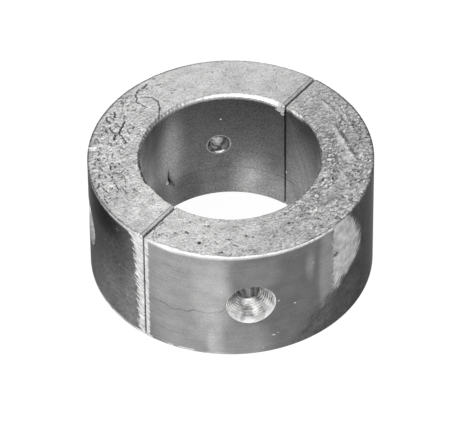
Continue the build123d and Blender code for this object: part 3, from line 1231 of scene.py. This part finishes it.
def bored_zinc(sizes, finish):
    """Dull bored wall that seats on the hub, with faint tool lines and old scratches; its tone and
    patches are painted reflections.
    """
    r = Recipe("zinc_bored", 0.38, edge=0.9)
    flat, along, up, degrees = r.unrolled(sizes.bore_radius)
    fine = flat.lines(0, 0.25, 9, 7.0)
    smear = flat.noise(0.2, 3.0, 0.55)
    grain = flat.noise(2.2, 2.0, 0.7)
    wall = r.attribute("tone") * fine.spread(0.94, 1.06)
    wall *= flat.lines(1, 1.1, 45, 17.0).ramp(0.35, 0.65, 0.97, 1.03)
    wall *= smear.spread(0.86, 1.14)
    wall *= grain.spread(0.82, 1.18)
    wall *= flat.noise(1.3, 3.0, 0.7).spread(0.76, 1.24)
    # One dark tool ring low in the bore
    wall = wall.where(abs(up + smear * 1.5 - TOOL_RING).ramp(0.35, 0.1), 0.8)
    wall = flat.specks(8.0, 0.4, 0.2).blend(wall, 0.45)
    # Fine dark specks high on the rear half, towards the seam on the +X side
    sooty = up.ramp(18.0, 34.0) * degrees.ramp(55.0, 15.0) * degrees.ramp(-1.0, 0.0)
    wall = wall.where(flat.noise(1.9, 2.0, 0.6).ramp(0.54, 0.66) * sooty, 0.45)
    # Thin bright lip round each screw hole
    beside = (abs(degrees).calc("MODULO", 90.0) - 45.0) * math.radians(sizes.bore_radius / MM)
    above = up - sizes.height / MM / 2
    away = (beside * beside + above * above).calc("SQRT")
    lip = (sizes.hole_radius + HOLE_EXIT_CHAMFER) / MM
    wall = away.ramp(lip + 0.32, lip + 0.10).blend(wall, 0.42)
    # Burrs and specks, and the painted highlights on the bore's corner at the seam
    for *where, burr_and_glint_tone in BORE_BURRS_AND_GLINTS:
        burr_and_glint = flat.spot(sizes.bore_radius, *where) * grain.ramp(0.38, 0.50, 0.25, 1.0)
        wall = burr_and_glint.blend(wall, burr_and_glint_tone)
    # Long slanting scratches on the front half
    bend = (along + 12.0).calc("POWER", 2.0) * 0.03
    arcs = along.laid_flat(up - bend).lines(58, 0.45, 14, 33.0)
    on_front = along.ramp(-0.5, -1.0)
    wall = wall.where(arcs.ramp(0.56, 0.66) * on_front, 1.40)
    wall = wall.where(arcs.ramp(0.43, 0.34) * on_front, 0.62)
    r.colour(r.attribute("pitting").blend(wall, SCAR_TONE), finish)
    r.feed("Roughness", smear.spread(0.34, 0.44))
    r.bump(fine, 0.012 * MM)
    return r.material


def drilled_zinc(sizes, finish):
    """Screw holes: a bright cone with the drill's rings, and a clear hole behind it darkened as
    painted shade.
    """
    r = Recipe("zinc_drilled", 0.28)
    x, y, z = r.axes()
    on_rear = y > 0.0
    depth = (abs(x) + abs(y)) * (math.sqrt(0.5) / MM)
    rings = ((depth + r.place.noise(250.0) * 0.8) * (2 * math.pi / DRILL_PITCH)).calc("SINE")
    smear = r.place.noise(330.0, 2.0, 0.55)
    cone_top = (sizes.outer_radius - sizes.recess_land) / MM
    cone_foot = cone_top - (sizes.recess_radius - sizes.hole_radius) / MM
    exit_edge = (sizes.bore_radius + HOLE_EXIT_CHAMFER) / MM
    side_hole = (x < 0.0) * on_rear
    plain = depth.ramp(cone_top - 0.1, cone_top + 0.1).larger(side_hole * 0.75)
    tone = rings.ramp(-1.0, 1.0, 0.80, 1.05) * smear.ramp(0.35, 0.60, 0.50, 1.1)
    for centre, reach in HOLE_STAINS:
        tone *= r.place.ball(centre, reach).blend(1.0, 0.42)
    tone = plain.blend(tone, smear.ramp(0.40, 0.52, 0.80, 1.2))
    # The rear hole on the -X side is brightened as a painted highlight, and darkened at its mouth
    # and in its lower part as painted shade
    radius = (x * x + y * y).calc("SQRT")
    mouth = radius.ramp(sizes.outer_radius - 0.20 * MM, sizes.outer_radius - 0.08 * MM)
    painted_hole_shade = mouth.larger(z.ramp(20.0 * MM, 16.5 * MM))
    tone = tone.where(side_hole, 1.25) * (side_hole * painted_hole_shade).blend(1.0, 0.4)
    tone *= sum(finish.cut_colour) / 3
    # The clear hole behind the cone is darkened as painted shade
    clear = depth.ramp(exit_edge, exit_edge + 0.1) * depth.ramp(cone_foot + 0.3, cone_foot)
    hole_tone = on_rear.blend(smear.spread(0.34, 0.62), smear.ramp(0.45, 0.58, 0.14, 0.80))
    r.colour(clear.blend(tone, hole_tone), finish)
    r.feed("Roughness", plain.blend(smear.spread(0.22, 0.32), 0.55))
    r.bump(rings * plain.blend(1.0, 0.0), 0.02 * MM)
    return r.material


def sawn_zinc(_, finish):
    """Sawn end faces, with the blade's upright lines, and the plain underside."""
    r = Recipe("zinc_sawn", 0.45)
    marks = r.place.scaled((2200, 2200, 60)).noise(1.0, 2.0, 0.6)
    cloud = r.place.noise(300.0, 3.0)
    r.colour(marks.spread(0.85, 1.1) * 0.42 * cloud.spread(0.85, 1.1), finish)
    r.feed("Roughness", cloud.spread(0.4, 0.52))
    r.bump(marks, 0.03 * MM)
    return r.material


def sort_faces(bm, sizes):
    """Gives each face of the spun half its finish, by where it lies."""
    for face in bm.faces:
        centre, normal = face.calc_center_median(), face.normal
        if centre.z > sizes.height - RIM_DROP - HAIR:
            face.material_index = 0
        elif abs(normal.y) > 0.99 and abs(centre.y) < sizes.half_gap * 1.5:
            face.material_index = 3
        elif normal.z < -0.3:
            face.material_index = 3
        elif math.hypot(centre.x, centre.y) > (sizes.outer_radius + sizes.bore_radius) / 2:
            face.material_index = 1
        else:
            face.material_index = 2


# ---------------------------------------------------------------- operators

class ANODE_OT_half_rings(bpy.types.Operator):
    """Builds the two half rings with their screw holes, cast faces and finishes"""

    bl_idname = "anode.half_rings"
    bl_label = "Build Half Rings"
    bl_options = {"REGISTER", "UNDO"}

    def execute(self, context):
        sizes, finish = context.scene.anode_sizes, context.scene.anode_finish
        recipes = (cast_zinc, turned_zinc, bored_zinc, sawn_zinc)
        materials = [recipe(sizes, finish) for recipe in recipes]
        drilled = drilled_zinc(sizes, finish)
        marks = cast_marks()
        for half, node in HALVES.items():
            bm = spin_half(sizes)
            sort_faces(bm, sizes)
            turn = 0 if half == "rear" else math.pi
            bmesh.ops.rotate(bm, verts=bm.verts, cent=(0, 0, 0),
                             matrix=Matrix.Rotation(turn, 3, "Z"))
            piece = as_object(bm, "cast_half_" + half, materials)
            for degrees in hole_angles(half):
                cut(piece, as_object(screw_hole_cutter(sizes, degrees), "cutter", [drilled]))
            finish_half(piece, sizes, finish, marks)
            sharpen_edges(piece, 32)
            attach(piece, "root")
            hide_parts(node)
        return {"FINISHED"}


class ANODE_OT_stage(bpy.types.Operator):
    """Sets the plain pale floor, the soft lights and the camera"""

    bl_idname = "anode.stage"
    bl_label = "Set Up Stage"
    bl_options = {"REGISTER", "UNDO"}

    def execute(self, context):
        finish = context.scene.anode_finish
        build_floor(finish)
        light_world(context)
        for light in SOFT_LIGHTS:
            soft_light(*light)
        place_camera(context, context.scene.anode_sizes)
        return {"FINISHED"}


# Soft lights: (name, direction and elevation in degrees, distance m, sides m, brightness)
SOFT_LIGHTS = [
    ("back softbox", 37.4, 50, 1.6, (1.6, 0.8), 0.25),
    ("front softbox", -150.0, 52, 1.6, (2.6, 1.1), 0.80),
    ("left strip", 95.0, 48, 1.6, (0.35, 1.3), 1.6),
    ("right strip", -18.0, 48, 1.6, (0.35, 1.3), 1.6),
]
WORLD_RISE = (0.0, 0.80, 0.30, 1.0)  # sine of the elevation from and to, brightness at each
FLOOR_RADIUS = 6.0
FLOOR_GLOW = 0.93  # brightness of the floor where it is seen, 1 for white
CAMERA_TURN = -142.6
CAMERA_ELEVATION = 44.19
CAMERA_ROLL = -0.6
FOCAL_PIXELS = 5000.0
IMAGE_WIDTH, IMAGE_HEIGHT = 459, 444  # pixels
PIXEL = 0.3057 * MM  # size of an image pixel at the ring
OBJECT_OFFSET = (1.7, 16.65)  # pixels from the image's centre to the ring's


def direction(degrees, elevation):
    """Unit vector towards an angle about +Z and an elevation."""
    turn, rise = math.radians(degrees), math.radians(elevation)
    return Vector((math.cos(turn) * math.cos(rise), math.sin(turn) * math.cos(rise),
                   math.sin(rise)))


def build_floor(finish):
    """A wide plain floor that shows white and keeps the ring's shadow."""
    bm = bmesh.new()
    bmesh.ops.create_circle(bm, cap_ends=True, segments=96, radius=FLOOR_RADIUS)
    material = bpy.data.materials.new("floor")
    material.use_nodes = True
    tree = material.node_tree
    shader = tree.nodes["Principled BSDF"]
    shader.inputs["Base Color"].default_value = (*finish.floor_colour, 1)
    shader.inputs["Roughness"].default_value = 1.0
    shader.inputs["Specular IOR Level"].default_value = 0.0
    shader.inputs["Emission Color"].default_value = (1, 1, 1, 1)
    rays = add_node(tree, "ShaderNodeLightPath")
    seen = Value(tree, rays["Is Camera Ray"])
    for ray in ("Is Glossy Ray", "Is Transmission Ray"):
        seen = seen.larger(rays[ray])
    tree.links.new((seen * FLOOR_GLOW).socket, shader.inputs["Emission Strength"])
    as_object(bm, "floor", [material])


def light_world(context):
    """A plain surround, pale above and dim near the floor."""
    world = bpy.data.worlds.new("surround")
    world.use_nodes = True
    tree = world.node_tree
    background = tree.nodes["Background"]
    background.inputs["Color"].default_value = (1, 1, 1, 1)
    view = add_node(tree, "ShaderNodeTexCoord")["Generated"]
    height = Value(tree, add_node(tree, "ShaderNodeSeparateXYZ", {0: view})[2])
    tree.links.new(height.ramp(*WORLD_RISE).socket, background.inputs["Strength"])
    context.scene.world = world


def soft_light(name, degrees, elevation, distance, size, brightness):
    """An area light that faces the ring, of a brightness that is 1 for white."""
    lamp = bpy.data.lights.new(name, "AREA")
    lamp.shape = "RECTANGLE"
    lamp.size, lamp.size_y = size
    lamp.energy = brightness * math.pi * size[0] * size[1]
    piece = bpy.data.objects.new(name, lamp)
    towards = direction(degrees, elevation)
    piece.location = towards * distance
    piece.rotation_euler = towards.to_track_quat("Z", "Y").to_euler()
    piece.visible_camera = False
    bpy.context.scene.collection.objects.link(piece)


def place_camera(context, sizes):
    """The camera, a long lens from 44 degrees above the -X, -Y side."""
    lens = bpy.data.cameras.new("camera")
    lens.sensor_fit = "HORIZONTAL"
    lens.sensor_width = 36.0
    lens.lens = FOCAL_PIXELS * lens.sensor_width / IMAGE_WIDTH
    lens.clip_start, lens.clip_end = 0.05, 100.0
    back = direction(CAMERA_TURN, CAMERA_ELEVATION)
    right = direction(CAMERA_TURN + 90, 0)
    up = back.cross(right)
    roll = math.radians(CAMERA_ROLL)
    right, up = (math.cos(roll) * right + math.sin(roll) * up,
                 math.cos(roll) * up - math.sin(roll) * right)
    target = Vector((0, 0, sizes.height / 2))
    target -= (OBJECT_OFFSET[0] * right + OBJECT_OFFSET[1] * up) * PIXEL
    camera = bpy.data.objects.new("camera", lens)
    place = Matrix((right, up, back)).transposed().to_4x4()
    place.translation = target + back * (FOCAL_PIXELS * PIXEL)
    camera.matrix_world = place
    context.scene.collection.objects.link(camera)
    context.scene.camera = camera
    context.scene.view_settings.view_transform = "Standard"


class ANODE_PT_build(bpy.types.Panel):
    """The anode's sizes, its finish and the steps that build it"""

    bl_label = "Zinc Collar Anode"
    bl_idname = "ANODE_PT_build"
    bl_space_type = "VIEW_3D"
    bl_region_type = "UI"
    bl_category = "Anode"

    def draw(self, context):
        for group in (context.scene.anode_sizes, context.scene.anode_finish):
            box = self.layout.box()
            for name in group.__annotations__:
                box.prop(group, name)
        self.layout.operator(ANODE_OT_half_rings.bl_idname)
        self.layout.operator(ANODE_OT_stage.bl_idname)


CLASSES = (AnodeSizes, AnodeFinish, ANODE_OT_half_rings, ANODE_OT_stage, ANODE_PT_build)


def register():
    for cls in CLASSES:
        bpy.utils.register_class(cls)
    bpy.types.Scene.anode_sizes = bpy.props.PointerProperty(type=AnodeSizes)
    bpy.types.Scene.anode_finish = bpy.props.PointerProperty(type=AnodeFinish)


def unregister():
    del bpy.types.Scene.anode_finish
    del bpy.types.Scene.anode_sizes
    for cls in reversed(CLASSES):
        bpy.utils.unregister_class(cls)


def main():
    register()
    bpy.ops.anode.half_rings()
    bpy.ops.anode.stage()


if __name__ == "__main__":
    main()
